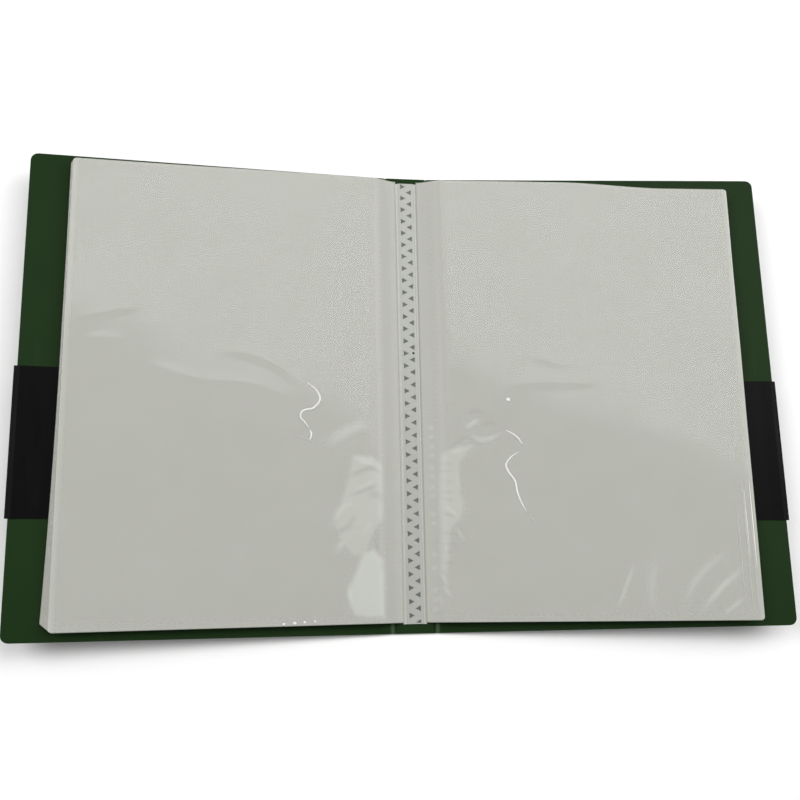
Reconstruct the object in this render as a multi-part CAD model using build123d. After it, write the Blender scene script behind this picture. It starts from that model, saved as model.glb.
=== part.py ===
"""Pocket stamp album lying open at its middle.

A creased polypropylene cover (front panel, spine and back panel joined by living hinges) holds
twenty clear pockets. The pockets are welded together and to the spine along the gutter, ten to a
side. A black card band wraps round the outside of the cover, and its flaps tuck in at both fore
edges.

Frame, in millimetres: +X towards the right-hand page, +Y towards the head of the pages, +Z up.
The origin is the centre of the underside of the spine, which the open album rests on.

Everything is laid out with the covers flat, and each side is then tilted about its hinge lines to
the slight V that the creases hold it in.
"""

import os

from build123d import *

# Cover: one creased sheet
COVER_HEIGHT = 315.0
PANEL_WIDTH = 238.0
SPINE_WIDTH = 29.0
SHEET_THICKNESS = 0.8
CORNER_RADIUS = 5.0
WEB_THICKNESS = 0.35
WEB_HALF_WIDTH = 0.5
GROOVE_HALF_WIDTH = 1.0
CREASE_GAP = 0.05
REST_TILT = 4.5

# Card band round the cover
BAND_HEIGHT = 96.0
BAND_THICKNESS = 0.3
BAND_CENTRE_Y = -38.0
BAND_CLEARANCE = 0.05
BAND_END_GAP = 0.4
BAND_SLACK = 0.7
FLAP_LENGTH = 62.0

# Pockets
POCKETS_PER_SIDE = 10
POCKET_HEIGHT = 305.0
FOOT_MARGIN = 6.0
TOP_POCKET_REACH = 227.0
LEFT_REACH_STEP = 0.5
RIGHT_REACH_STEP = -0.8
FILM_THICKNESS = 0.1
POCKET_THICKNESS = 0.4
POCKET_PITCH = 0.6
LOWEST_POCKET_Z = 2.0
INNER_SEAM_X = 16.2
SEAM_WIDTH = 1.6
FOOT_SEAM_INSET = 3.5
FOLD_WIDTH = 0.6

# Pocket roots, where each leaf hinges beside the weld
ROOT_X = 7.4
ROOT_THICKNESS = 0.08
ROOT_PITCH = 0.12
LOWEST_ROOT_Z = 1.5

# Gutter weld: two columns of triangles that point at each other
WELD_HALF_WIDTH = 5.6
WELD_THICKNESS = 0.9
TRIANGLE_PITCH = 8.7
TRIANGLE_BASE = 4.2
TRIANGLE_DEPTH = 0.4
TRIANGLE_OUTER_X = 4.2
TRIANGLE_TIP_X = 0.3

# Worked out from the dimensions above
HALF_SPINE = SPINE_WIDTH / 2
FORE_EDGE_X = HALF_SPINE + PANEL_WIDTH
COVER_BOTTOM_Z = BAND_THICKNESS + BAND_CLEARANCE
COVER_TOP_Z = COVER_BOTTOM_Z + SHEET_THICKNESS
WEB_TOP_Z = COVER_BOTTOM_Z + WEB_THICKNESS
FLAP_BOTTOM_Z = COVER_TOP_Z + BAND_CLEARANCE
FLAP_TOP_Z = FLAP_BOTTOM_Z + BAND_THICKNESS
POCKET_FOOT_Y = -COVER_HEIGHT / 2 + FOOT_MARGIN
POCKET_HEAD_Y = POCKET_FOOT_Y + POCKET_HEIGHT
LEFT, RIGHT = -1, 1


def prism(side, outline, y_low, y_high):
    """A solid with an outline in X and Z, mirrored to its side of the gutter, that runs along Y."""
    points = [(side * x, y_low, z) for x, z in outline]
    face = make_face(Polyline(*points, close=True))
    return extrude(face, amount=y_high - y_low, dir=(0, 1, 0))


def slab(side, x_low, x_high, y_low, y_high, z_low, z_high):
    """A plain block on one side of the gutter."""
    outline = [(x_low, z_low), (x_high, z_low), (x_high, z_high), (x_low, z_high)]
    return prism(side, outline, y_low, y_high)


def tilted(shape, side, x, z):
    """The shape turned up by the rest tilt about a hinge line of its side at x, z."""
    return shape.rotate(Axis((side * x, 0, z), (0, 1, 0)), -side * REST_TILT)


def groove_edge(x_crease, towards):
    """Outline points of a crease's thin web and sloping groove wall, from the crease outwards."""
    return [
        (x_crease + towards * CREASE_GAP, COVER_BOTTOM_Z),
        (x_crease + towards * CREASE_GAP, WEB_TOP_Z),
        (x_crease + towards * WEB_HALF_WIDTH, WEB_TOP_Z),
        (x_crease + towards * GROOVE_HALF_WIDTH, COVER_TOP_Z),
    ]


def cover_panel(side):
    """A cover panel with rounded outer corners and half of a living hinge along its inner edge."""
    outline = groove_edge(HALF_SPINE, 1)
    outline += [(FORE_EDGE_X, COVER_TOP_Z), (FORE_EDGE_X, COVER_BOTTOM_Z)]
    panel = prism(side, outline, -COVER_HEIGHT / 2, COVER_HEIGHT / 2)
    fore_edge = panel.edges().filter_by(Axis.Z).filter_by_position(
        Axis.X, side * FORE_EDGE_X - 0.1, side * FORE_EDGE_X + 0.1
    )
    return tilted(fillet(fore_edge, CORNER_RADIUS), side, HALF_SPINE, WEB_TOP_Z)


def spine_panel():
    """The spine between the two creases, with half of a living hinge along each side."""
    outline = groove_edge(-HALF_SPINE, 1) + groove_edge(HALF_SPINE, -1)[::-1]
    return prism(RIGHT, outline, -COVER_HEIGHT / 2, COVER_HEIGHT / 2)


def band_span():
    """The band's lowest and highest Y."""
    return BAND_CENTRE_Y - BAND_HEIGHT / 2, BAND_CENTRE_Y + BAND_HEIGHT / 2


def band_wrap(side):
    """One end of the band: along the outside of a panel, round its fore edge and in as a flap."""
    y_low, y_high = band_span()
    fold_x = FORE_EDGE_X + BAND_SLACK
    fold_z = FLAP_TOP_Z / 2
    outside = slab(side, HALF_SPINE + BAND_END_GAP, fold_x, y_low, y_high, 0, BAND_THICKNESS)
    flap_start = FORE_EDGE_X - FLAP_LENGTH
    flap = slab(side, flap_start, fold_x, y_low, y_high, FLAP_BOTTOM_Z, FLAP_TOP_Z)
    tube = Location((side * fold_x, (y_low + y_high) / 2, fold_z), (90, 0, 0))
    fold = tube * Cylinder(fold_z, BAND_HEIGHT) - tube * Cylinder(fold_z - BAND_THICKNESS, BAND_HEIGHT)
    fold &= slab(side, fold_x, fold_x + fold_z, y_low, y_high, 0, FLAP_TOP_Z)
    return tilted(outside + flap + fold, side, HALF_SPINE, WEB_TOP_Z)


def band_back():
    """The middle of the band, under the spine."""
    half_width = HALF_SPINE - BAND_END_GAP
    return slab(RIGHT, -half_width, half_width, *band_span(), 0, BAND_THICKNESS)


def gutter_weld():
    """The fused middle strip of all the pockets, stamped with the two columns of triangles."""
    strip = slab(
        RIGHT,
        -WELD_HALF_WIDTH,
        WELD_HALF_WIDTH,
        POCKET_FOOT_Y,
        POCKET_HEAD_Y,
        COVER_TOP_Z,
        COVER_TOP_Z + WELD_THICKNESS,
    )
    stamp_z = COVER_TOP_Z + WELD_THICKNESS - TRIANGLE_DEPTH
    rows = int(POCKET_HEIGHT / TRIANGLE_PITCH)
    stamps = []
    for side, stagger in ((LEFT, 0), (RIGHT, TRIANGLE_PITCH / 2)):
        for row in range(rows):
            y = POCKET_HEAD_Y - (row + 0.5) * TRIANGLE_PITCH - stagger
            corners = [
                (side * TRIANGLE_OUTER_X, y - TRIANGLE_BASE / 2, stamp_z),
                (side * TRIANGLE_OUTER_X, y + TRIANGLE_BASE / 2, stamp_z),
                (side * TRIANGLE_TIP_X, y, stamp_z),
            ]
            face = make_face(Polyline(*corners, close=True))
            stamps.append(extrude(face, amount=2 * TRIANGLE_DEPTH, dir=(0, 0, 1)))
    return strip - stamps


def pocket(side, number):
    """One clear pocket, open at its head: two films, the welds and fold that join them, and its root.

    Pocket 1 is on top and faces the reader. Both piles lean to the left, so the lower pockets show
    beyond pocket 1 on the left and end short of it on the right. Each part is a convex solid that
    meets the next face to face, which leaves the slot between the films open.
    """
    above = POCKETS_PER_SIDE - number
    reach_step = LEFT_REACH_STEP if side == LEFT else RIGHT_REACH_STEP
    reach = TOP_POCKET_REACH + (number - 1) * reach_step
    middle_z = LOWEST_POCKET_Z + above * POCKET_PITCH
    low_z, high_z = middle_z - POCKET_THICKNESS / 2, middle_z + POCKET_THICKNESS / 2
    inner_low, inner_high = low_z + FILM_THICKNESS, high_z - FILM_THICKNESS
    root_z = LOWEST_ROOT_Z + above * ROOT_PITCH
    foot, head = POCKET_FOOT_Y, POCKET_HEAD_Y
    seam_x, fold_x = INNER_SEAM_X + SEAM_WIDTH, reach - FOLD_WIDTH
    seam_y = foot + FOOT_SEAM_INSET
    root_outline = [
        (ROOT_X, root_z - ROOT_THICKNESS / 2),
        (INNER_SEAM_X, low_z),
        (INNER_SEAM_X, high_z),
        (ROOT_X, root_z + ROOT_THICKNESS / 2),
    ]
    pieces = [
        prism(side, root_outline, foot, head),
        slab(side, INNER_SEAM_X, reach, foot, head, low_z, inner_low),
        slab(side, INNER_SEAM_X, reach, foot, head, inner_high, high_z),
        slab(side, INNER_SEAM_X, seam_x, foot, head, inner_low, inner_high),
        slab(side, fold_x, reach, foot, head, inner_low, inner_high),
        slab(side, seam_x, fold_x, seam_y, seam_y + SEAM_WIDTH, inner_low, inner_high),
    ]
    return Compound([tilted(piece, side, ROOT_X, LOWEST_ROOT_Z) for piece in pieces])


def all_parts():
    """Every sub-part by its node name."""
    parts = {
        "front_cover": cover_panel(LEFT),
        "spine_panel": spine_panel(),
        "back_cover": cover_panel(RIGHT),
        "band_front_wrap": band_wrap(LEFT),
        "band_spine": band_back(),
        "band_back_wrap": band_wrap(RIGHT),
        "gutter_weld": gutter_weld(),
    }
    for number in range(1, POCKETS_PER_SIDE + 1):
        parts[f"left_pocket_{number:02d}"] = pocket(LEFT, number)
        parts[f"right_pocket_{number:02d}"] = pocket(RIGHT, number)
    return parts


os.makedirs("parts", exist_ok=True)
for name, shape in all_parts().items():
    export_step(shape, f"parts/{name}.step")
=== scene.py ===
import math
from collections import namedtuple

import bmesh
import bpy
import numpy as np
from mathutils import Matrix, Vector
from mathutils.geometry import delaunay_2d_cdt


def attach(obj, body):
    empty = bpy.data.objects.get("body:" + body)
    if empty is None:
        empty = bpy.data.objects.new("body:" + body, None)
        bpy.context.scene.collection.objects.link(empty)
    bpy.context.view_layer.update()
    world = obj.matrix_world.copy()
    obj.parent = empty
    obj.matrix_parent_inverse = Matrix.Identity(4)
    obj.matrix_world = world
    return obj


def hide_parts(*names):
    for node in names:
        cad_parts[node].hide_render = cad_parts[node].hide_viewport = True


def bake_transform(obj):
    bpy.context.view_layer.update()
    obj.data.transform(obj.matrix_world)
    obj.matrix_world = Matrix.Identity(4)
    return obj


# A pocket stamp album lying open: a creased green cover with a black card band round it, and two
# piles of clear pockets welded together in the gutter.
#
# Shapes are worked out in millimetres and laid flat: x outwards from the gutter on either side,
# y towards the head, z up. stand() then mirrors them to their side and tilts them like the CAD.

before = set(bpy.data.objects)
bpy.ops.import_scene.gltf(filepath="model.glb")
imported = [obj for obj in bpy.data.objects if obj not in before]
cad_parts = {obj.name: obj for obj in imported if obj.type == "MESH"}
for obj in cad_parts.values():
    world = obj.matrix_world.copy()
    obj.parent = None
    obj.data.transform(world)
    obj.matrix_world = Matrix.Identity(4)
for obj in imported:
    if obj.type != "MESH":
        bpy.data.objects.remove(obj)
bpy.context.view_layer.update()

MM = 0.001
LEFT, RIGHT = -1, 1
SIDE_WORD = {LEFT: "left", RIGHT: "right"}
COVER_WORD = {LEFT: "front", RIGHT: "back"}
REST_TILT = math.radians(4.5)

# Cover sheet and band, as in the CAD
COVER_HALF_HEIGHT = 157.5
CREASE_X = 14.5
FORE_EDGE_X = 252.5
COVER_BOTTOM_Z = 0.35
COVER_TOP_Z = 1.15
WEB_TOP_Z = 0.7
CORNER_RADIUS = 5.0
SPINE_END_X = 13.2
WEB_HALF_WIDTH = 0.5
GROOVE_HALF_WIDTH = 1.0
BAND_THICKNESS = 0.3
BAND_LOW_Y, BAND_HIGH_Y = -86.0, 10.0
BAND_SKEW = -0.0098
FLAP_START_X = 190.5
FLAP_Z = COVER_TOP_Z + 0.2
FLAP_SPRING = 0.35
FLAP_SPRING_RUN = 12.0
BAND_FOLD_X = FORE_EDGE_X + 0.4
BAND_FOLD_REACH = 1.5

# Pockets
POCKETS = 10
ROOT_X = 7.4
ROOT_Z = 1.5
ROOT_PITCH = 0.12
POCKET_Z = 2.0
POCKET_PITCH = 0.6
CLIMB_END_X = 25.0
FILM_THICKNESS = 0.06
FOOT_Y, HEAD_Y = -151.5, 153.5
TOP_REACH = {LEFT: 224.6, RIGHT: 229.0}
REACH_STEP = {LEFT: 0.22, RIGHT: -0.8}
SLEEVE_GAP = 0.28
SEAM_GAP = 0.08
SLEEVE_RUN = 14.0
INNER_SEAM_X = {LEFT: 20.5, RIGHT: 17.0}
FOOT_SEAM_Y = FOOT_Y + 4.3
POCKET_CORNER = 2.0

# Stitches of the pockets' welds
DASH_PITCH = 4.0
DASH_LENGTH = 2.2
DASH_HALF_WIDTH = 0.4
DASH_HEIGHT = 0.04
DASH_HAZE = 0.25

# Folds and blisters of the two top pockets
FOLD_STEPS = 60
FOLD_TAPER = 0.42
BLISTER_LIFT = 0.2
BLISTER_SLOPE = 6.0
BLISTER_SOFTNESS = 4.5
EDGE_HAZE = 0.3
RIPPLE_HEIGHT = 0.2
FOLDED_END_X = 56.0
PLAIN_END_X = 130.0
FOLDED_TOP_Y = -10.0
PLAIN_TOP_Y = 70.0
BEAD_STEP = 0.8
BEAD_SECTION = (-1.0, -0.6, 0.0, 0.6, 1.0)
BEAD_CLEARANCE = 0.02

# How far each pile lies askew: its shift, its turn, the slip of each pocket, and the right pile's
# lean along its height and droop at the head
PILE_SHIFT = 0.9
PILE_TURN = {LEFT: 1.4, RIGHT: 3.2}
LEFT_SLIP = (0.4, 0.45)
RIGHT_SLIP = 0.4
RIGHT_LEAN = 0.006
HEAD_DROOP = 3.5
DROOP_START_X, DROOP_RUN = 110.0, 75.0

# Gutter weld. Each shoulder is an x and z, from the level top out to the skirt that reaches under
# the pockets' roots, clear of their turning
WELD_TOP_Z = 2.05
WELD_SHOULDER = ((4.7, WELD_TOP_Z), (5.2, 1.92), (5.7, 1.62), (6.15, 1.32), (7.6, 1.25), (7.7, 1.17))
# Across these x the weld's colour turns paler, as painted light on the shaded slope and skirt beside the
# pockets' roots
PAINTED_LIGHT_FROM_X, PAINTED_LIGHT_TO_X = 5.5, 5.9
TRIANGLE_PITCH = 8.746
FIRST_TRIANGLE_DROP = 2.3
TRIANGLE_BASE = 4.1
TRIANGLE_OUTER_X = 3.9
TRIANGLE_TIP_X = 0.05
TRIANGLE_FOOT_MARGIN = 0.4
WINDOW_Z = 1.75
WINDOW_SHARE = 0.82
PINHOLE = (2.9, 29.0)
PINHOLE_RADIUS = 0.8
PINHOLE_CORNERS = 12
PINHOLE_Z = 1.22

# Camera and stage, in metres and degrees
CAMERA_PLACE = (-0.0940, -0.1452, 0.6423)
CAMERA_TURN = (12.452, -7.555, 0.461)
CAMERA_LENS = 44.07
WORLD_STRENGTH = 0.35
FLOOR_HALF = 3.0
FLOOR_Z = -0.0003


# ---------------------------------------------------------------- mesh helpers


def spread(*spans):
    """Positions along a line. Each span is (start, end, step); spans meet end to start."""
    parts = []
    for start, end, step in spans:
        count = max(1, round(abs(end - start) / step))
        parts.append(np.linspace(start, end, count, endpoint=False))
    return np.append(np.concatenate(parts), spans[-1][1])


def smooth(t):
    """0 to 1 with level ends."""
    t = np.clip(t, 0.0, 1.0)
    return t * t * (3 - 2 * t)


def stand(points, side, pivot_x, pivot_z):
    """Flat points in mm, mirrored to their side and turned up by the rest tilt, in metres."""
    x, y, z = (points[..., i] for i in range(3))
    out, up = x - pivot_x, z - pivot_z
    c, s = math.cos(REST_TILT), math.sin(REST_TILT)
    turned = np.stack([side * (pivot_x + out * c - up * s), y, pivot_z + out * s + up * c], axis=-1)
    return turned * MM


def mesh_object(name, points, faces, flat=None, shade_smooth=True):
    """A mesh from points in metres. flat holds each point's place on the flat sheet, for the UVs."""
    mesh = bpy.data.meshes.new(name)
    mesh.from_pydata(points.reshape(-1, 3).tolist(), [], faces)
    bm = bmesh.new()
    bm.from_mesh(mesh)
    bmesh.ops.recalc_face_normals(bm, faces=bm.faces)
    bm.to_mesh(mesh)
    bm.free()
    if flat is not None:
        layer = mesh.uv_layers.new(name="flat")
        corners = np.empty(len(mesh.loops), dtype=np.int64)
        mesh.loops.foreach_get("vertex_index", corners)
        layer.data.foreach_set("uv", (flat.reshape(-1, 2) * MM)[corners].ravel())
    mesh.polygons.foreach_set("use_smooth", [shade_smooth] * len(mesh.polygons))
    piece = bpy.data.objects.new(name, mesh)
    bpy.context.scene.collection.objects.link(piece)
    return piece


def grid_faces(rows, columns, start=0):
    """Quads of a rows by columns grid whose points are numbered row by row from start."""
    index = start + np.arange(rows * columns).reshape(rows, columns)
    a, b, c, d = index[:-1, :-1], index[:-1, 1:], index[1:, 1:], index[1:, :-1]
    return np.stack([a, b, c, d], axis=-1).reshape(-1, 4).tolist()


def rim_faces(rows, columns, upper, lower):
    """Quads that close the edge between two equal grids that start at upper and lower."""
    index = np.arange(rows * columns).reshape(rows, columns)
    ring = np.concatenate([index[0], index[1:, -1], index[-1, -2::-1], index[-2:0:-1, 0]])
    after = np.roll(ring, -1)
    return [(upper + a, upper + b, lower + b, lower + a) for a, b in zip(ring.tolist(), after.tolist())]


def add_solidify(piece, thickness):
    modifier = piece.modifiers.new("thickness", "SOLIDIFY")
    modifier.thickness = thickness * MM
    modifier.offset = 0.0


def add_bevel(piece, width, segments=2):
    modifier = piece.modifiers.new("soft edges", "BEVEL")
    modifier.width = width * MM
    modifier.segments = segments
    modifier.limit_method = "ANGLE"
    modifier.angle_limit = math.radians(50)


def rounded_limit(y, half_height, edge_x, radius):
    """The outer edge's x at height y, with round corners."""
    into_corner = np.clip(np.abs(y) - (half_height - radius), 0.0, radius)
    return edge_x - radius + np.sqrt(radius**2 - into_corner**2)


# ---------------------------------------------------------------- materials


class Paint:
    """A Principled material and short calls for the nodes that drive it."""

    def __init__(self, name, **sockets):
        self.material = bpy.data.materials.new(name)
        self.material.use_nodes = True
        self.tree = self.material.node_tree
        self.shader = self.tree.nodes["Principled BSDF"]
        for socket, value in sockets.items():
            self.shader.inputs[socket.replace("_", " ").title().replace("Ior", "IOR")].default_value = value

    def node(self, kind, values=(), **settings):
        made = self.tree.nodes.new(kind)
        for key, value in settings.items():
            setattr(made, key, value)
        for socket, value in dict(values).items():
            if isinstance(value, bpy.types.NodeSocket):
                self.tree.links.new(value, made.inputs[socket])
            else:
                made.inputs[socket].default_value = value
        return made

    def drive(self, socket, source):
        self.tree.links.new(source, self.shader.inputs[socket])

    def flat_place(self):
        """Where a point is on its flat sheet, in metres."""
        return self.node("ShaderNodeUVMap", uv_map="flat").outputs["UV"]

    def object_place(self):
        return self.node("ShaderNodeTexCoord").outputs["Object"]

    def noise(self, place, size, detail=2.0, stretch=(1, 1, 1)):
        """Noise from 0 to 1 whose grains are about size mm wide."""
        scale = [s / (size * MM) for s in stretch]
        mapped = self.node("ShaderNodeMapping", {"Vector": place, "Scale": scale})
        values = {"Vector": mapped.outputs[0], "Scale": 1.0, "Detail": detail}
        return self.node("ShaderNodeTexNoise", values).outputs["Fac"]

    def remap(self, value, low, high, to_low, to_high):
        values = {"Value": value, "From Min": low, "From Max": high, "To Min": to_low, "To Max": to_high}
        return self.node("ShaderNodeMapRange", values).outputs["Result"]

    def math(self, operation, a, b=0.0):
        return self.node("ShaderNodeMath", {0: a, 1: b}, operation=operation).outputs[0]

    def mix(self, factor, colour_a, colour_b):
        made = self.node("ShaderNodeMix", {0: factor}, data_type="RGBA")
        for socket, colour in ((6, colour_a), (7, colour_b)):
            if isinstance(colour, bpy.types.NodeSocket):
                self.tree.links.new(colour, made.inputs[socket])
            else:
                made.inputs[socket].default_value = (*colour, 1.0)
        return made.outputs[2]

    def bump(self, height, distance, strength=1.0, under=None):
        values = {"Height": height, "Distance": distance * MM, "Strength": strength}
        made = self.node("ShaderNodeBump", values)
        if under is not None:
            self.tree.links.new(under, made.inputs["Normal"])
        return made.outputs["Normal"]


def cover_material():
    """Dark green polypropylene with a fine moulded grain, whitened along its creases."""
    paint = Paint("green_polypropylene", roughness=0.5, specular_ior_level=0.07)
    place = paint.flat_place()
    grain = paint.noise(place, 0.35, detail=3.0)
    cloud = paint.noise(place, 60.0)
    base = paint.mix(cloud, (0.0085, 0.0245, 0.0055), (0.0105, 0.029, 0.007))
    scuffs = paint.noise(place, 9.0, detail=6.0, stretch=(1, 0.25, 1))
    scuffed = paint.mix(paint.remap(scuffs, 0.62, 0.8, 0.0, 0.3), base, (0.025, 0.045, 0.02))
    across = paint.node("ShaderNodeSeparateXYZ", {"Vector": place}).outputs["X"]
    from_crease = paint.math("ABSOLUTE", paint.math("SUBTRACT", across, CREASE_X * MM))
    patchy = paint.remap(paint.noise(place, 1.5, detail=4.0), 0.3, 0.7, 0.45, 1.0)
    near_crease = paint.remap(from_crease, 0.4 * MM, 1.9 * MM, 0.85, 0.0)
    whitened = paint.math("MULTIPLY", near_crease, patchy)
    paint.drive("Base Color", paint.mix(whitened, scuffed, (0.085, 0.125, 0.075)))
    paint.drive("Roughness", paint.remap(grain, 0.3, 0.7, 0.42, 0.6))
    paint.drive("Normal", paint.bump(grain, 0.05, 0.5))
    return paint.material


def band_material():
    """Black card with a satin varnish, a few rubbed streaks and a fine fibre."""
    paint = Paint("black_card", roughness=0.4, specular_ior_level=0.06)
    place = paint.flat_place()
    fibre = paint.noise(place, 0.6, detail=3.0, stretch=(0.4, 1, 1))
    rubbed = paint.noise(place, 7.0, detail=6.0, stretch=(1, 0.15, 1))
    wear = paint.remap(rubbed, 0.6, 0.8, 0.0, 0.5)
    paint.drive("Base Color", paint.mix(wear, (0.002, 0.002, 0.002), (0.008, 0.008, 0.0075)))
    paint.drive("Roughness", paint.remap(rubbed, 0.3, 0.75, 0.34, 0.52))
    paint.drive("Normal", paint.bump(fibre, 0.03, 0.35))
    return paint.material


def film_tint(paint, place, dark, light):
    """The milk-white colour of the film, with the fine ribs left by the extruder; also the rib height."""
    along = paint.node("ShaderNodeSeparateXYZ", {"Vector": place}).outputs["Y"]
    wander = paint.remap(paint.noise(place, 40.0), 0.0, 1.0, -0.6 * MM, 0.6 * MM)
    rib_phase = paint.math("MULTIPLY", paint.math("ADD", along, wander), 2 * math.pi / (3.0 * MM))
    ribs = paint.remap(paint.math("SINE", rib_phase), -1.0, 1.0, 0.0, 1.0)
    broken = paint.math("MULTIPLY", ribs, paint.noise(place, 25.0, detail=1.0, stretch=(0.3, 1, 1)))
    tint = paint.mix(paint.noise(place, 30.0, detail=5.0), dark, light)
    return paint.mix(paint.math("MULTIPLY", broken, 0.25), tint, [0.9 * c for c in dark]), broken


def film_material():
    """Milk-white clear film, milkier where it stands off the leaf below and dull where it is welded, with
    painted highlights on its folds and blisters and painted shade along some folds.
    """
    paint = Paint("pocket_film", roughness=0.1, ior=1.49, alpha=0.34)
    place = paint.flat_place()
    tint, ribs = film_tint(paint, place, (0.65, 0.65, 0.595), (0.69, 0.69, 0.64))
    # The point attribute is partly the film's real milkiness and partly painted light: above 0 it paints a
    # highlight, below 0 it paints shade
    haze = paint.node("ShaderNodeAttribute", attribute_name="haze").outputs["Fac"]
    # Painted highlight: the colour turns towards pale white as the attribute rises, together with the
    # film's real milkiness
    milky_and_painted_highlight = paint.mix(paint.remap(haze, 0.0, 1.0, 0.0, 1.0), tint, (0.78, 0.80, 0.74))
    # Painted shade: below 0 the attribute darkens the film's colour along the dark fold lines
    painted_shade = paint.remap(haze, -0.5, 0.0, 0.35, 0.0)
    paint.drive("Base Color", paint.mix(painted_shade, milky_and_painted_highlight, (0.50, 0.50, 0.46)))
    paint.drive("Alpha", paint.remap(haze, 0.0, 1.0, 0.34, 0.5))
    across = paint.node("ShaderNodeSeparateXYZ", {"Vector": place}).outputs["X"]
    gloss = paint.remap(paint.noise(place, 35.0), 0.3, 0.7, 0.08, 0.14)
    dull = paint.remap(across, 18 * MM, 30 * MM, 0.35, 0.0)
    paint.drive("Roughness", paint.math("ADD", gloss, dull))
    ripple = paint.bump(paint.noise(place, 18.0, detail=0.0), 0.05, 0.12)
    paint.drive("Normal", paint.bump(ribs, 0.02, 0.05, under=ripple))
    return paint.material


def painted_glint_material():
    """Film painted near-white as a glint on a sharp crease or a stitch of the weld, and polished there."""
    paint = Paint("painted_glint_film", roughness=0.2, ior=1.49, alpha=0.9)
    # Painted glint: the noise mixes the colour between light grey and near-white
    glint_noise = paint.noise(paint.flat_place(), 1.6, detail=3.0)
    paint.drive("Base Color", paint.mix(glint_noise, (0.78, 0.78, 0.74), (0.95, 0.94, 0.90)))
    paint.drive("Roughness", paint.remap(glint_noise, 0.3, 0.7, 0.12, 0.3))
    paint.drive("Normal", paint.bump(glint_noise, 0.05, 0.3))
    return paint.material


def weld_material():
    """The pale film of the gutter strip, packed but not fused, with painted light where it bends down,
    lifting the shade beside the pockets' roots.
    """
    paint = Paint("gutter_film", roughness=0.3, ior=1.49)
    place = paint.flat_place()
    tint, ribs = film_tint(paint, place, (0.368, 0.372, 0.344), (0.392, 0.396, 0.368))
    across = paint.math("ABSOLUTE", paint.node("ShaderNodeSeparateXYZ", {"Vector": place}).outputs["X"])
    # Painted light: from these x outwards the colour turns paler to light the shaded slope and skirt
    skirt_painted_light = paint.remap(across, PAINTED_LIGHT_FROM_X * MM, PAINTED_LIGHT_TO_X * MM, 0.0, 1.0)
    paint.drive("Base Color", paint.mix(skirt_painted_light, tint, (0.60, 0.605, 0.56)))
    paint.drive("Roughness", paint.remap(paint.noise(place, 6.0, detail=4.0), 0.3, 0.7, 0.24, 0.38))
    pebbled = paint.bump(paint.noise(place, 1.2), 0.05, 0.3)
    paint.drive("Normal", paint.bump(ribs, 0.02, 0.3, under=pebbled))
    return paint.material


def window_material():
    """Film fused clear by the weld, so that the dark spine shows through."""
    paint = Paint("fused_film", roughness=0.35, ior=1.49, alpha=0.6, specular_ior_level=0.3)
    bubbles = paint.noise(paint.flat_place(), 1.6, detail=3.0)
    seeded = paint.remap(bubbles, 0.45, 0.7, 0.0, 0.6)
    paint.drive("Base Color", paint.mix(seeded, (0.10, 0.11, 0.095), (0.28, 0.29, 0.27)))
    paint.drive("Roughness", paint.remap(bubbles, 0.3, 0.7, 0.25, 0.45))
    paint.drive("Normal", paint.bump(bubbles, 0.1, 0.4))
    return paint.material


def floor_material():
    """Plain pale studio floor."""
    paint = Paint("pale_floor", roughness=0.7)
    mottle = paint.noise(paint.object_place(), 400.0)
    paint.drive("Base Color", paint.mix(mottle, (0.92, 0.92, 0.92), (0.94, 0.94, 0.935)))
    return paint.material


# ---------------------------------------------------------------- cover and band


def sheet_profile(x):
    """Top and bottom of the cover sheet at x, with the groove of the living hinge."""
    wall = smooth((np.abs(x - CREASE_X) - WEB_HALF_WIDTH) / (GROOVE_HALF_WIDTH - WEB_HALF_WIDTH))
    top = WEB_TOP_Z + (COVER_TOP_Z - WEB_TOP_Z) * wall
    return top, np.full_like(x, COVER_BOTTOM_Z)


def cover_rows():
    edge = COVER_HALF_HEIGHT
    return spread(
        (-edge, -edge + CORNER_RADIUS, 0.4),
        (-edge + CORNER_RADIUS, edge - CORNER_RADIUS, 8.0),
        (edge - CORNER_RADIUS, edge, 0.4),
    )


def cover_panel(side, material):
    """A cover panel, and the strip of spine beside it that the living hinge bends from."""
    columns = spread(
        (SPINE_END_X, CREASE_X - GROOVE_HALF_WIDTH, 0.3),
        (CREASE_X - GROOVE_HALF_WIDTH, CREASE_X + GROOVE_HALF_WIDTH, 0.1),
        (CREASE_X + GROOVE_HALF_WIDTH, 20.0, 2.0),
        (20.0, FORE_EDGE_X - 2 * CORNER_RADIUS, 8.0),
        (FORE_EDGE_X - 2 * CORNER_RADIUS, FORE_EDGE_X, 1.0),
    )
    x, y = np.meshgrid(columns, cover_rows())
    fixed_x = FORE_EDGE_X - 2 * CORNER_RADIUS
    limit = rounded_limit(y, COVER_HALF_HEIGHT, FORE_EDGE_X, CORNER_RADIUS)
    squeezed = fixed_x + (x - fixed_x) * (limit - fixed_x) / (FORE_EDGE_X - fixed_x)
    x = np.where(x > fixed_x, squeezed, x)
    top, bottom = sheet_profile(x)
    upper = np.stack([x, y, top], axis=-1)
    lower = np.stack([x, y, bottom], axis=-1)
    flat_sheet = np.stack([upper, lower])
    standing = stand(flat_sheet, side, CREASE_X, WEB_TOP_Z)
    lying = flat_sheet * MM * (side, 1, 1)
    on_spine = flat_sheet[..., :1] < CREASE_X
    points = np.where(on_spine, lying, standing)
    rows, count = x.shape
    faces = grid_faces(rows, count) + grid_faces(rows, count, x.size)
    faces += rim_faces(rows, count, 0, x.size)
    word = COVER_WORD[side]
    panel = mesh_object(f"{word}_cover_sheet", points, faces, flat_sheet[..., :2])
    panel.data.materials.append(material)
    add_bevel(panel, 0.12)
    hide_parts(f"{word}_cover")
    bend(panel)


def bend(piece):
    """Bakes the piece's world transform into its mesh."""
    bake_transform(piece)


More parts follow.
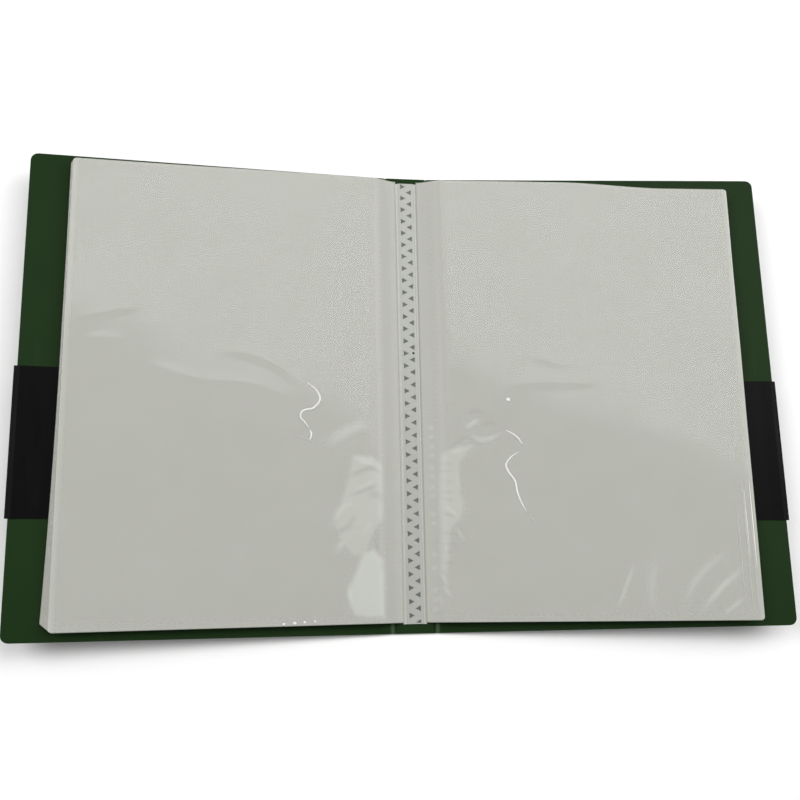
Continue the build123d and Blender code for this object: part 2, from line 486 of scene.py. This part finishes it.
def spine_sheet(material):
    """The middle of the cover, between the two creases."""
    columns = spread((-SPINE_END_X, SPINE_END_X, 3.3))
    x, y = np.meshgrid(columns, cover_rows())
    upper = np.stack([x, y, np.full_like(x, COVER_TOP_Z)], axis=-1)
    lower = np.stack([x, y, np.full_like(x, COVER_BOTTOM_Z)], axis=-1)
    flat_sheet = np.stack([upper, lower])
    rows, count = x.shape
    faces = grid_faces(rows, count) + grid_faces(rows, count, x.size)
    faces += rim_faces(rows, count, 0, x.size)
    spine = mesh_object("spine_sheet", flat_sheet * MM, faces, flat_sheet[..., :2])
    spine.data.materials.append(material)
    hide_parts("spine_panel")
    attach(spine, "spine")


def folded_strip(name, path, rows, side, material):
    """A strip of card folded to follow a path in x and z, and the length along it for the UVs."""
    path = np.array(path)
    run = np.concatenate([[0], np.cumsum(np.hypot(*np.diff(path, axis=0).T))])
    x, y = np.meshgrid(path[:, 0], rows)
    z = np.broadcast_to(path[:, 1], x.shape)
    flat_sheet = np.stack([x, y + BAND_SKEW * side * x, z], axis=-1)
    standing = stand(flat_sheet, side, CREASE_X, WEB_TOP_Z)
    lying = flat_sheet * MM * (side, 1, 1)
    points = np.where(flat_sheet[..., :1] < CREASE_X, lying, standing)
    places = np.stack([np.broadcast_to(run, x.shape), y], axis=-1)
    strip = mesh_object(name, points, grid_faces(*x.shape), places, shade_smooth=False)
    strip.data.materials.append(material)
    add_solidify(strip, BAND_THICKNESS)
    return strip


def band_wrap(side, material):
    """One end of the band: under a panel, round its fore edge and in over it as a flap."""
    outside_z = BAND_THICKNESS / 2
    fold_z = (outside_z + FLAP_Z) / 2
    fold_rise = fold_z - outside_z
    outside = [(x, outside_z) for x in spread((SPINE_END_X, 17.0, 0.4), (17.0, BAND_FOLD_X, 6.0))]
    turn = np.radians(np.linspace(-90, 90, 13))[1:-1]
    fold = [(BAND_FOLD_X + BAND_FOLD_REACH * math.cos(t), fold_z + fold_rise * math.sin(t)) for t in turn]
    flap = []
    flat_x = BAND_FOLD_X - FLAP_SPRING_RUN
    for x in spread((BAND_FOLD_X, flat_x, 1.0), (flat_x, FLAP_START_X, 6.0)):
        from_fold = BAND_FOLD_X - x
        spring = FLAP_SPRING * smooth(1 - from_fold / FLAP_SPRING_RUN) * smooth(from_fold / 2)
        flap.append((x, FLAP_Z + spring))
    word = COVER_WORD[side]
    strip = folded_strip(f"band_{word}", outside + fold + flap, band_rows(), side, material)
    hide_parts(f"band_{word}_wrap")
    bend(strip)


def band_rows():
    return spread((BAND_LOW_Y, BAND_HIGH_Y, 6.0))


def band_under_spine(material):
    """The band's stretch under the spine."""
    path = [(x, BAND_THICKNESS / 2) for x in spread((-SPINE_END_X, SPINE_END_X, 6.6))]
    strip = folded_strip("band_middle", path, band_rows(), RIGHT, material)
    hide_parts("band_spine")
    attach(strip, "spine")


# ---------------------------------------------------------------- pockets

# A fold's crest follows path. It falls away over width mm to the left of the path's direction, and
# over steep times that to the right. The last value is how much lighter the film is on it, real milkiness
# with a painted highlight, or how much painted shade darkens it if negative.
Fold = namedtuple("Fold", "path width height steep haze")

FOLDS = {
    LEFT: [
        Fold([(138, 25), (110, 24), (86, 14), (70, 0)], 6, 0.30, 1.0, 0.0),
        Fold([(184, 18), (140, 6), (104, 3), (78, -8)], 6, 0.30, 1.0, 0.0),
        Fold([(218, 42), (196, 50), (172, 55)], 5, 0.30, 1.0, 0.0),
        Fold([(216, 27), (200, 31), (186, 31)], 5, 0.25, 1.0, 0.0),
        Fold([(64, -40), (48, -31), (38, -26), (24, -24)], 6, 0.2, 1.0, 0.45),
        Fold([(43, -44), (34, -48), (19, -51)], 4.6, 0.1, 1.0, 0.7),
        Fold([(46, -70), (34, -64), (28, -61), (17, -59)], 4.2, 0.1, 1.0, 0.75),
        Fold([(28, -76), (42, -75), (49, -80), (52, -87), (52, -96)], 4.6, 0.1, 1.0, 0.7),
        Fold([(20, -80), (31, -90), (38, -106)], 6.0, 0.1, 1.0, 0.65),
        Fold([(34, -98), (46, -99), (54, -110)], 4.2, 0.1, 1.0, 0.6),
        Fold([(40, -120), (43, -132), (36, -147)], 4.0, 0.1, 1.0, 0.95),
        Fold([(46, -59), (35, -54), (29, -52), (20, -57)], 2.6, 0.0, 1.0, -0.55),
        Fold([(45, -71), (34, -67), (21, -62)], 2.2, 0.0, 1.0, -0.5),
        Fold([(33, -71), (26, -69), (20, -75)], 5, 0.0, 1.0, -0.4),
        Fold([(20, -85), (27, -95), (33, -110)], 2.0, 0.0, 1.0, -0.45),
        Fold([(24, -88), (26, -100), (24, -112)], 2.0, 0.0, 1.0, -0.35),
        Fold([(38, -81), (43, -88), (47, -95)], 3, 0.0, 1.0, -0.35),
        Fold([(56, -96), (45, -91), (38, -88)], 3, 0.0, 1.0, -0.5),
        Fold([(22, -108), (23, -120)], 1.5, 0.0, 1.0, -0.35),
    ],
    RIGHT: [
        Fold([(60, 4), (92, 8), (116, 8), (150, 10)], 7, 0.25, 1.0, 0.0),
        Fold([(62, 28), (82, 27), (101, 22), (138, 20)], 7, 0.22, 1.0, 0.0),
        Fold([(34, -26), (41, -22), (47, -19)], 2.6, 0.2, 1.0, 0.6),
        Fold([(36, -27), (46, -33), (57, -30), (62, -26)], 2.6, 0.2, 1.0, 0.55),
        Fold([(36, -16), (44, -13), (51, -16)], 2.8, 0.0, 1.0, -0.5),
        Fold([(46, -23), (54, -21), (59, -25)], 2.6, 0.0, 1.0, -0.5),
        Fold([(22, -39), (31, -34), (36, -31), (46, -37)], 1.9, 0.0, 1.0, -0.4),
        Fold([(20, -41), (30, -41), (39, -38)], 3.4, 0.1, 1.0, 0.7),
        Fold([(30, -48), (30, -60), (32, -72)], 2.4, 0.1, 1.0, 0.65),
        Fold([(18, -73), (25, -80), (33, -88)], 2.4, 0.1, 1.0, 0.95),
        Fold([(20, -92), (21, -104), (20, -116)], 2.6, 0.1, 1.0, 0.75),
        Fold([(18, -80), (24, -83), (30, -84)], 1.9, 0.0, 1.0, -0.4),
        Fold([(26, -89), (30, -95), (34, -102)], 1.9, 0.2, 1.0, 0.4),
        Fold([(17, -118), (19, -124), (22, -130)], 2.4, 0.2, 1.0, 0.6),
        Fold([(17, -127), (21, -132), (25, -137)], 1.4, 0.15, 1.0, 0.55),
        Fold([(16, -133), (17, -140), (18, -143)], 1.5, 0.15, 1.0, 0.5),
        Fold([(130, -148), (138, -130), (147, -110)], 2.4, 0.1, 1.0, 0.6),
        Fold([(155, -150), (155, -132), (160, -108)], 5.0, 0.1, 1.0, 0.3),
        Fold([(174, -148), (184, -127), (212, -104)], 4.5, 0.1, 1.0, 0.4),
        Fold([(184, -150), (200, -132), (223, -114)], 3.6, 0.1, 1.0, 0.65),
        Fold([(200, -150), (211, -141), (219, -136)], 2.4, 0.1, 1.0, 0.55),
    ],
}

# Short lines of painted shade beside the right seam, and blotches of painted highlight between it and the
# roots
PAINTED_SHADE_YS = (-48, -53, -60, -67, -72, -94, -101, -106, -113)
FOLDS[RIGHT] += [Fold([(16, y), (22, y - 0.7), (30, y - 1)], 1.6, 0.0, 1.0, -0.25) for y in PAINTED_SHADE_YS]
PAINTED_HIGHLIGHT_YS = (-24, -30, -37, -43, -51, -57, -64, -70, -82, -88, -108, -117, -131, -137, -143)
FOLDS[RIGHT] += [Fold([(13.5, y + 2), (13.5, y - 2)], 2.6, 0.0, 1.0, 0.35) for y in PAINTED_HIGHLIGHT_YS]

# A blister is a patch where the film stands off the leaf below: its outline and how much lighter it looks,
# real milkiness with a painted highlight
Blister = namedtuple("Blister", "outline haze")

BLISTERS = {
    LEFT: [
        Blister(
            [(27, -104), (35, -106), (39, -117), (43, -126), (45, -133), (44, -140), (40, -146)]
            + [(32, -148), (20.5, -148), (20.5, -112)],
            0.8,
        ),
        Blister(
            [(41, -43), (43, -53), (45, -62), (48, -72), (52, -82), (53, -90), (50, -99), (42, -108)]
            + [(33, -110), (28, -102), (25, -92), (20.5, -84), (20.5, -50), (28, -44)],
            0.5,
        ),
    ],
    RIGHT: [
        Blister(
            [(19, -42), (31, -37), (42, -36), (36, -43), (32, -49), (31, -59), (32, -69), (34, -74)]
            + [(33, -82), (29, -88), (25, -92), (24, -102), (23, -111), (21, -120), (17, -119)]
            + [(17, -72), (18, -52)],
            0.5,
        ),
    ],
}


# Sharp creases that catch the light: a path, the half-width, the height, painted near-white as a glint or
# not, and how much lighter the film is painted on it, a painted highlight on these creases
Crease = namedtuple("Crease", "path width height slot haze", defaults=(0.6,))
FAINT, GLINT_WHITE = 0, 1

CREASES = {
    LEFT: [
        Crease(
            [(71, 5), (64, -1), (62, -6), (66, -12), (74, -15), (75, -18), (72, -22), (69, -26)],
            0.6,
            0.28,
            GLINT_WHITE,
        ),
        Crease([(68.8, -26.5), (67.8, -30), (69, -34)], 0.5, 0.2, GLINT_WHITE),
        Crease([(80, -30), (70, -33.5), (66, -35)], 0.3, 0.15, FAINT),
        Crease([(64.9, -149.0), (66.3, -149.0)], 0.6, 0.12, GLINT_WHITE),
        Crease([(71.2, -149.3), (73.0, -149.3)], 0.7, 0.15, GLINT_WHITE),
        Crease([(77.2, -149.8), (79.4, -149.7)], 0.9, 0.15, GLINT_WHITE),
        Crease([(84.2, -150.1), (86.2, -150.1)], 0.7, 0.12, GLINT_WHITE),
    ],
    RIGHT: [
        Crease([(63, -26), (67, -28), (71, -31), (74.5, -36)], 0.5, 0.24, GLINT_WHITE),
        Crease(
            [(72, -40.5), (66, -44.5), (62.5, -50), (64, -54), (68, -60), (69.5, -68), (71.5, -74)]
            + [(75, -81)],
            0.6,
            0.28,
            GLINT_WHITE,
        ),
        Crease([(75, -81), (80, -88)], 0.3, 0.2, FAINT),
        Crease([(64.6, -4.6), (67.2, -5.6)], 1.2, 0.3, GLINT_WHITE),
        Crease([(216.9, -72), (217.1, -145)], 0.3, 0.12, FAINT),
        Crease([(221.8, -60), (221.9, -145)], 0.4, 0.12, FAINT),
        Crease([(222.6, -66), (222.8, -112)], 0.2, 0.12, GLINT_WHITE),
        Crease([(225.6, -78), (225.8, -145)], 0.4, 0.12, FAINT),
        Crease([(226.6, -60), (226.8, -118)], 0.3, 0.12, GLINT_WHITE),
    ],
}


def curve_through(knots, count):
    """Points and directions along a smooth curve through the knots."""
    knots = np.array(knots, float)
    steps = np.concatenate([[0], np.cumsum(np.hypot(*np.diff(knots, axis=0).T))])
    slopes = np.gradient(knots, steps, axis=0)
    at = np.linspace(0, steps[-1], count)
    piece = np.clip(np.searchsorted(steps, at, side="right") - 1, 0, len(steps) - 2)
    span = (steps[piece + 1] - steps[piece])[:, None]
    t = (at[:, None] - steps[piece][:, None]) / span
    start, end = knots[piece], knots[piece + 1]
    leave, arrive = slopes[piece] * span, slopes[piece + 1] * span
    points = (
        (2 * t**3 - 3 * t**2 + 1) * start
        + (t**3 - 2 * t**2 + t) * leave
        + (3 * t**2 - 2 * t**3) * end
        + (t**3 - t**2) * arrive
    )
    directions = np.gradient(points, axis=0)
    return points, directions / np.linalg.norm(directions, axis=1, keepdims=True)


def fold_profile(fold, x, y):
    """How far up one fold each point is, from 0 to 1."""
    points, directions = curve_through(fold.path, FOLD_STEPS)
    away = np.stack([x, y], axis=-1)[..., None, :] - points
    nearest = np.argmin((away**2).sum(axis=-1), axis=-1)
    step = np.take_along_axis(away, nearest[..., None, None], axis=-2)[..., 0, :]
    along = directions[nearest]
    off = (along[..., 0] * step[..., 1] - along[..., 1] * step[..., 0]) / fold.width
    beyond = np.abs((along * step).sum(axis=-1)) / fold.width
    share = nearest / (len(points) - 1)
    taper = smooth(np.minimum(share, 1 - share) / FOLD_TAPER) * np.clip(1 - beyond, 0, 1)
    rise = smooth(np.where(off >= 0, 1 - off, 1 + off / fold.steep))
    return rise * taper


def depth_inside(outline, x, y):
    """How far each point is in from a closed outline; negative outside it."""
    ring = np.array(outline, float)
    inside = np.zeros(x.shape, bool)
    nearest = np.full(x.shape, np.inf)
    for (ax, ay), (bx, by) in zip(ring, np.roll(ring, -1, axis=0)):
        dx, dy = bx - ax, by - ay
        share = np.clip(((x - ax) * dx + (y - ay) * dy) / (dx**2 + dy**2), 0, 1)
        nearest = np.minimum(nearest, np.hypot(x - ax - share * dx, y - ay - share * dy))
        if dy != 0:
            inside ^= ((ay > y) != (by > y)) & (x < ax + (y - ay) * dx / dy)
    return np.where(inside, nearest, -nearest)


def fold_field(side, x, y):
    """Lift of the top film over the pile, and how much lighter or darker the film is painted there: real
    milkiness with a painted highlight, or painted shade where negative.
    """
    lift, milky_and_painted_highlight, dark = (np.zeros_like(x) for _ in range(3))
    for fold in FOLDS[side]:
        rise = fold_profile(fold, x, y)
        # Positive values mark real milkiness with a painted highlight; negative values mark painted shade
        lift += fold.height * rise
        milky_and_painted_highlight = np.maximum(milky_and_painted_highlight, fold.haze * rise)
        dark = np.minimum(dark, fold.haze * rise)
    for blister in BLISTERS[side]:
        depth = depth_inside(blister.outline, x, y)
        lift += BLISTER_LIFT * smooth(depth / BLISTER_SLOPE)
        milky_and_painted_highlight = np.maximum(milky_and_painted_highlight, blister.haze * smooth(depth / BLISTER_SOFTNESS + 0.4))
    fold_edge = EDGE_HAZE * smooth((x - TOP_REACH[side] + 4.0) / 2.5)
    return lift, np.maximum(milky_and_painted_highlight, fold_edge) + dark


def ripple_height(x, y):
    """A gentle unevenness that a whole pile shares."""
    waves = np.sin(x / 31.0 + 0.9 * np.sin(y / 43.0)) * np.sin(y / 19.0 + 0.8 * np.sin(x / 37.0))
    return RIPPLE_HEIGHT * waves * smooth((x - CLIMB_END_X) / 20.0)


def pocket_columns(side, reach, fine):
    """Stations from the root to the fore edge, close together where a top pocket is folded."""
    seam_end = INNER_SEAM_X[side] + 1.0
    return spread(
        (ROOT_X, seam_end, 1.2 if fine else 1.6),
        (seam_end, FOLDED_END_X, 1.1 if fine else 3.5),
        (FOLDED_END_X, PLAIN_END_X, 2.6 if fine else 7.0),
        (PLAIN_END_X, reach - 4.0, 1.6 if fine else 7.0),
        (reach - 4.0, reach, 1.0 if fine else 2.0),
    )


def pocket_rows(fine):
    """Stations from the foot to the head, close together where a top pocket is folded."""
    return spread(
        (FOOT_Y, FOOT_SEAM_Y + 1.0, 1.0 if fine else 1.3),
        (FOOT_SEAM_Y + 1.0, FOLDED_TOP_Y, 1.15 if fine else 6.0),
        (FOLDED_TOP_Y, PLAIN_TOP_Y, 2.0 if fine else 8.0),
        (PLAIN_TOP_Y, HEAD_Y - 4.0, 4.0 if fine else 8.0),
        (HEAD_Y - 4.0, HEAD_Y, 0.7),
    )


def sleeve_gap(side, x, y):
    """Distance between the middles of a pocket's two films: closed along both seams."""
    inside = np.minimum(x - INNER_SEAM_X[side], y - FOOT_SEAM_Y)
    return SEAM_GAP + (SLEEVE_GAP - SEAM_GAP) * smooth((inside - 0.6) / SLEEVE_RUN)


def pile_height(x, number):
    """Middle of a pocket over the cover: packed at its root, free from the end of its climb."""
    above = POCKETS - number
    root = ROOT_Z + above * ROOT_PITCH
    plane = POCKET_Z + above * POCKET_PITCH
    return root + (plane - root) * smooth((x - ROOT_X) / (CLIMB_END_X - ROOT_X))


def film_surface(side, number, x, y, level):
    """Height of a pocket's film, and how much lighter or darker it is painted: real milkiness with painted
    highlights, or painted shade. Level is 1 on its upper film and -1 on its lower one.
    """
    z = pile_height(x, number) + level * sleeve_gap(side, x, y) / 2 + ripple_height(x, y)
    haze = np.zeros_like(z)
    if number == 1:
        lift, folded = fold_field(side, x, y)
        edge = smooth((TOP_REACH[side] - x) / 8.0) * smooth((x - ROOT_X) / 12.0)
        z = z + np.where(level > 0, lift * edge, 0.0)
        haze = np.where(level > 0, folded, 0.0)
    return z, haze


def lean(side, number, x, y):
    """Where the flat point of a pocket lies in its pile, which is a little askew."""
    across = x / TOP_REACH[side]
    from_head = (HEAD_Y - y) / (HEAD_Y - FOOT_Y)
    depth = number - 1
    turned_y = y + PILE_SHIFT - PILE_TURN[side] * across
    if side == LEFT:
        slip = depth * across * from_head**3
        return x + LEFT_SLIP[0] * slip, turned_y + LEFT_SLIP[1] * slip
    droop = HEAD_DROOP * smooth((x - DROOP_START_X) / DROOP_RUN) * (1 - from_head) ** 2
    return x + across * (RIGHT_LEAN * y - RIGHT_SLIP * depth * from_head), turned_y - droop


class Sheets:
    """Grids of points that become one mesh."""

    def __init__(self):
        self.points, self.places, self.haze, self.faces, self.slots = [], [], [], [], []
        self.count = 0

    def add(self, points, places, haze, slot):
        faces = grid_faces(*points.shape[:2], self.count)
        self.points.append(points.reshape(-1, 3))
        self.places.append(places.reshape(-1, 2))
        self.haze.append(haze.reshape(-1))
        self.faces += faces
        self.slots += [slot] * len(faces)
        self.count += points.shape[0] * points.shape[1]

    def build(self, name, materials):
        points, places = np.concatenate(self.points), np.concatenate(self.places)
        piece = mesh_object(name, points, self.faces, places)
        haze = piece.data.attributes.new("haze", "FLOAT", "POINT")
        haze.data.foreach_set("value", np.concatenate(self.haze))
        for material in materials:
            piece.data.materials.append(material)
        piece.data.polygons.foreach_set("material_index", self.slots)
        return piece


def pocket_film(side, number):
    """The x, y, height, milkiness with painted light and shade, and flat places of one film, folded round
    at the fore edge.
    """
    fine = number == 1
    reach = TOP_REACH[side] + (number - 1) * REACH_STEP[side]
    stations = pocket_columns(side, reach, fine)
    back_stations = pocket_columns(side, reach, False)[::-1]
    fold_turn = np.radians([60.0, 20.0, -20.0, -60.0])
    x_line = np.concatenate([stations, reach + SLEEVE_GAP / 2 * np.cos(fold_turn), back_stations])
    level = np.concatenate([np.ones(len(stations)), np.sin(fold_turn), -np.ones(len(back_stations))])
    x, y = np.meshgrid(x_line, pocket_rows(fine))
    corner = rounded_limit(y - (FOOT_Y + HEAD_Y) / 2, (HEAD_Y - FOOT_Y) / 2, 0.0, POCKET_CORNER)
    x = x + corner * smooth((x - reach + 6.0) / 6.0)
    z, haze = film_surface(side, number, x, y, np.broadcast_to(level, x.shape))
    return x, y, z, haze


def crease_bead(crease, side):
    """A narrow raised line on the upper film of a top pocket, pointed at both ends."""
    length = sum(math.dist(a, b) for a, b in zip(crease.path, crease.path[1:]))
    points, directions = curve_through(crease.path, max(9, round(length / BEAD_STEP)))
    across = np.stack([-directions[:, 1], directions[:, 0]], axis=-1)
    share = np.linspace(0, 1, len(points))
    swell = np.sqrt(np.sin(math.pi * np.clip(share, 0.002, 0.998)))[:, None]
    offsets = np.array(BEAD_SECTION)
    spots = points[:, None, :] + across[:, None, :] * (offsets * crease.width * swell)[..., None]
    x, y = spots[..., 0], spots[..., 1]
    z, _ = film_surface(side, 1, x, y, np.ones_like(x))
    z = z + BEAD_CLEARANCE + crease.height * swell * (1 - offsets**2)
    return x, y, z


def pocket(side, number, film, painted_glint):
    """A clear pocket: one film folded at the fore edge, so its two leaves are one long sheet."""
    sheets = Sheets()
    x, y, z, haze = pocket_film(side, number)
    add_leaning(sheets, side, number, (x, y, z), haze, 0)
    if number == 1:
        for crease in CREASES[side] + seam_dashes(side):
            # Beads in the glint slot are painted near-white as glints; on the other creases the lightening
            # is a painted highlight, and on the stitches it is real milkiness
            bead = crease_bead(crease, side)
            add_leaning(sheets, side, number, bead, np.full_like(bead[0], crease.haze), crease.slot)
    name = f"{SIDE_WORD[side]}_pocket_{number:02d}"
    piece = sheets.build(f"{name}_film", (film, painted_glint))
    add_solidify(piece, FILM_THICKNESS)
    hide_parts(name)
    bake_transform(piece)


def add_leaning(sheets, side, number, grid, haze, slot):
    """Adds a grid to a pocket after leaning it in its pile and standing it on its side."""
    x, y, z = grid
    places = np.stack([x, y], axis=-1)
    leant_x, leant_y = lean(side, number, x, y)
    standing = stand(np.stack([leant_x, leant_y, z], axis=-1), side, ROOT_X, ROOT_Z)
    sheets.add(standing, places, haze, slot)


def seam_dashes(side):
    """The stitches of the weld beside the gutter and of the one along the foot."""
    half = DASH_LENGTH / 2
    seam_x = INNER_SEAM_X[side]
    paths = []
    for y in np.arange(FOOT_SEAM_Y + 4, HEAD_Y - 3, DASH_PITCH):
        paths.append([(seam_x, y - half), (seam_x, y + half)])
    for x in np.arange(seam_x + 3, min(TOP_REACH.values()) - 5, DASH_PITCH):
        paths.append([(x - half, FOOT_SEAM_Y), (x + half, FOOT_SEAM_Y)])
    return [Crease(path, DASH_HALF_WIDTH, DASH_HEIGHT, FAINT, DASH_HAZE) for path in paths]


# ---------------------------------------------------------------- gutter weld


def triangle_stamps():
    """The weld's triangles: two columns that point at each other, half a pitch apart.

    The corners of each run counter-clockwise, as delaunay_2d_cdt needs them.
    """
    stamps = []
    for side, stagger in ((LEFT, 0.0), (RIGHT, TRIANGLE_PITCH / 2)):
        y = HEAD_Y - FIRST_TRIANGLE_DROP - stagger
        while y > FOOT_Y + 2 * TRIANGLE_FOOT_MARGIN:
            outer, tip = side * TRIANGLE_OUTER_X, side * TRIANGLE_TIP_X
            low_y = max(y - TRIANGLE_BASE / 2, FOOT_Y + TRIANGLE_FOOT_MARGIN)
            ends = [(outer, low_y), (outer, y + TRIANGLE_BASE / 2)]
            stamps.append(ends[::side] + [(tip, y)])
            y -= TRIANGLE_PITCH
    return stamps


def pinhole_stamp():
    """The corners of the pinhole, counter-clockwise."""
    turns = np.linspace(0, 2 * math.pi, PINHOLE_CORNERS, endpoint=False)
    x, y = PINHOLE
    return [(x + PINHOLE_RADIUS * math.cos(t), y + PINHOLE_RADIUS * math.sin(t)) for t in turns]


def shrunk(corners, share):
    """A stamp drawn in towards its centre."""
    centre = np.mean(corners, axis=0)
    return centre + (np.array(corners) - centre) * share


def gutter_weld(film, window, dark):
    """The strip that joins the pockets, with triangular windows where the films are fused."""
    half = WELD_SHOULDER[0][0]
    ys = spread((FOOT_Y, HEAD_Y, 4.0))
    border = [(half, y) for y in ys] + [(-half, y) for y in ys[::-1]]
    stamps = triangle_stamps() + [pinhole_stamp()]
    outline = border + [corner for stamp in stamps for corner in stamp]
    loops, first = [list(range(len(border)))], len(border)
    for stamp in stamps:
        loops.append(list(range(first, first + len(stamp))))
        first += len(stamp)
    edges = [(loop[i - 1], loop[i]) for loop in loops for i in range(len(loop))]
    found = delaunay_2d_cdt([Vector(p) for p in outline], edges, loops, 1, 1e-6)
    plan, _, triangles, _, _, inside_of = found
    faces = [tuple(t) for t, inside in zip(triangles, inside_of) if max(inside, default=0) == 0]
    points = [(p.x, p.y, WELD_TOP_Z) for p in plan]
    index = {(round(p.x, 4), round(p.y, 4)): i for i, p in enumerate(plan)}
    slots = [0] * len(faces)
    for stamp in stamps:
        hole = len(stamp) == PINHOLE_CORNERS
        rim = [index[(round(x, 4), round(y, 4))] for x, y in stamp]
        floor = list(range(len(points), len(points) + len(stamp)))
        floor_z = PINHOLE_Z if hole else WINDOW_Z
        points += [(x, y, floor_z) for x, y in shrunk(stamp, WINDOW_SHARE)]
        faces += [(rim[k - 1], rim[k], floor[k], floor[k - 1]) for k in range(len(stamp))]
        faces.append(tuple(floor))
        slots += [2 if hole else 0] * len(stamp) + [2 if hole else 1]
    ring = [index[(round(x, 4), round(y, 4))] for x, y in border]
    for shoulder_x, shoulder_z in WELD_SHOULDER[1:]:
        lower = list(range(len(points), len(points) + len(border)))
        points += [(math.copysign(shoulder_x, x), y, shoulder_z) for x, y in border]
        faces += [(ring[k - 1], ring[k], lower[k], lower[k - 1]) for k in range(len(border))]
        slots += [0] * len(border)
        ring = lower
    faces.append(tuple(ring[::-1]))
    slots.append(0)
    places = np.array(points)[:, :2]
    strip = mesh_object("gutter_weld_strip", np.array(points) * MM, faces, places, shade_smooth=False)
    for material in (film, window, dark):
        strip.data.materials.append(material)
    strip.data.polygons.foreach_set("material_index", slots)
    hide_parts("gutter_weld")
    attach(strip, "spine")


# ---------------------------------------------------------------- stage


def stage_floor():
    half, z = FLOOR_HALF, FLOOR_Z
    points = np.array([(-half, -half, z), (half, -half, z), (half, half, z), (-half, half, z)])
    floor = mesh_object("floor", points, [(0, 1, 2, 3)], shade_smooth=False)
    floor.data.materials.append(floor_material())


def area_light(name, place, target, size, power, colour=(1, 1, 1), turn=0.0):
    light = bpy.data.lights.new(name, "AREA")
    light.shape = "SQUARE"
    light.size = size
    light.energy = power
    light.color = colour
    lamp = bpy.data.objects.new(name, light)
    lamp.location = place
    lamp.rotation_euler = (Vector(target) - Vector(place)).to_track_quat("-Z", "Y").to_euler()
    lamp.rotation_euler.z += math.radians(turn)
    bpy.context.scene.collection.objects.link(lamp)


def lights():
    world = bpy.data.worlds.new("studio")
    world.use_nodes = True
    world.node_tree.nodes["Background"].inputs["Color"].default_value = (1, 1, 1, 1)
    world.node_tree.nodes["Background"].inputs["Strength"].default_value = WORLD_STRENGTH
    bpy.context.scene.world = world
    area_light("head_panel", (0.68, 1.32, 2.2), (0.68, 1.32, 0), 1.8, 24, (0.97, 1.0, 0.97), turn=-22)
    area_light("left_box", (-1.6, 0.6, 1.7), (0, 0, 0), 1.3, 29)
    area_light("right_box", (1.7, 0.7, 1.6), (0, 0, 0), 1.3, 26)


def camera():
    data = bpy.data.cameras.new("camera")
    data.lens = CAMERA_LENS
    data.sensor_width = 36.0
    view = bpy.data.objects.new("camera", data)
    view.location = CAMERA_PLACE
    view.rotation_mode = "ZYX"
    view.rotation_euler = [math.radians(a) for a in CAMERA_TURN]
    bpy.context.scene.collection.objects.link(view)
    bpy.context.scene.camera = view


# ---------------------------------------------------------------- the album

camera()
lights()
stage_floor()
bpy.context.scene.view_settings.view_transform = "Standard"

green = cover_material()
for side in (LEFT, RIGHT):
    cover_panel(side, green)
spine_sheet(green)

card = band_material()
for side in (LEFT, RIGHT):
    band_wrap(side, card)
band_under_spine(card)

film, painted_glint = film_material(), painted_glint_material()
for side in (LEFT, RIGHT):
    for number in range(1, POCKETS + 1):
        pocket(side, number, film, painted_glint)
gutter_weld(weld_material(), window_material(), green)


def corners(box):
    return [list(corner) for corner in box]
